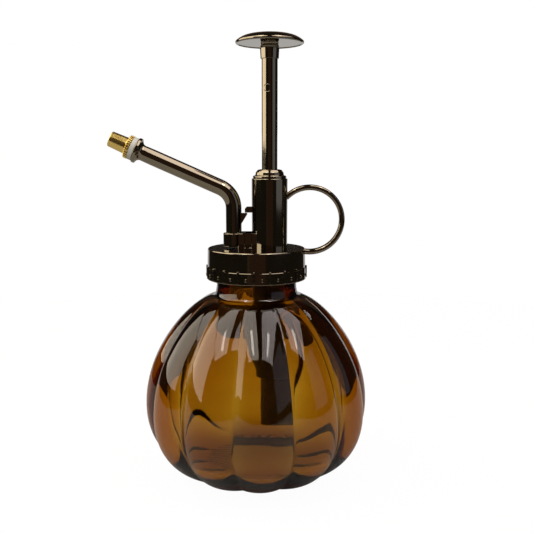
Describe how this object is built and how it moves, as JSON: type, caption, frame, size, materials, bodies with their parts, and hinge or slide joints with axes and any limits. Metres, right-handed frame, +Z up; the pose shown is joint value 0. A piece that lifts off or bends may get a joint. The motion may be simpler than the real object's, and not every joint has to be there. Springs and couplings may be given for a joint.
{
  "type": "hand mister",
  "caption": "Hand mister: lobed amber glass bottle, screw-on plated pump head with push plunger, finger ring, bent spout and adjustable mist nozzle.",
  "frame": {"origin": "centre of the bottle's foot, on the surface it stands on", "axes": "+Z up along the bottle's axis, spout towards -X, finger ring towards +X"},
  "size_m": [0.114, 0.0996, 0.1924],
  "materials": {
    "amber_glass": "moulded amber glass, polished",
    "bronze_plating": "dark bronze vacuum plating on ABS, mirror gloss",
    "brass": "turned brass, polished",
    "white_plastic": "natural nylon, moulded",
    "dark_plastic": "black polypropylene, moulded, and smoked polyethylene tube",
    "black_rubber": "nitrile rubber",
    "steel": "stainless spring steel",
    "ball_steel": "stainless ball, ground"
  },
  "bodies": {
    "bottle": {"bottle": "amber_glass"},
    "gasket": {"cap_gasket": "black_rubber"},
    "head": {"pump_head": "bronze_plating", "thread_liner": "dark_plastic", "finger_ring": "bronze_plating", "gland_nut": "bronze_plating", "gland_seal": "black_rubber", "valve_housing": "dark_plastic", "pump_cylinder": "dark_plastic", "ball_cage": "dark_plastic", "dip_tube": "dark_plastic", "return_spring": "steel", "spout_seal": "black_rubber", "outlet_stop": "dark_plastic", "spout_tube": "bronze_plating", "nozzle_stem": "brass", "swirl_plug": "brass"},
    "plunger": {"plunger_rod": "bronze_plating", "knob_collar": "bronze_plating", "knob": "bronze_plating", "piston": "white_plastic", "piston_cup": "black_rubber"},
    "inlet_valve": {"inlet_ball": "ball_steel"},
    "outlet_valve": {"outlet_ball": "ball_steel"},
    "washer": {"nozzle_washer": "white_plastic"},
    "nozzle": {"nozzle_cap": "brass"}
  },
  "joints": [
    {"name": "cap_lift", "type": "slide", "parent": "bottle", "child": "gasket", "axis": [0, 0, 1], "range_m": [0, 0.00423]},
    {"name": "cap_turn", "type": "hinge", "parent": "gasket", "child": "head", "pos_m": [0, 0, 0.0985], "axis": [0, 0, 1], "range_deg": [0, 360]},
    {"name": "plunger_press", "type": "slide", "parent": "head", "child": "plunger", "axis": [0, 0, -1], "range_m": [0, 0.044], "stiffness_N_per_m": 90, "springref_m": -0.02, "deforming": ["return_spring"]},
    {"name": "inlet_ball_lift", "type": "slide", "parent": "head", "child": "inlet_valve", "axis": [0, 0, 1], "range_m": [0, 0.0012]},
    {"name": "outlet_ball_lift", "type": "slide", "parent": "head", "child": "outlet_valve", "axis": [0, 0, 1], "range_m": [0, 0.0012]},
    {"name": "nozzle_shift", "type": "slide", "parent": "head", "child": "washer", "axis": [-0.915, 0, 0.4035], "range_m": [0, 0.000799]},
    {"name": "nozzle_turn", "type": "hinge", "parent": "washer", "child": "nozzle", "pos_m": [-0.05405, 0, 0.14483], "axis": [-0.915, 0, 0.4035], "range_deg": [0, 360]}
  ],
  "couplings": [
    {"joint": "cap_turn", "follows": "cap_lift", "rad_per_m": 1484.2},
    {"joint": "nozzle_turn", "follows": "nozzle_shift", "rad_per_m": 7854}
  ]
}
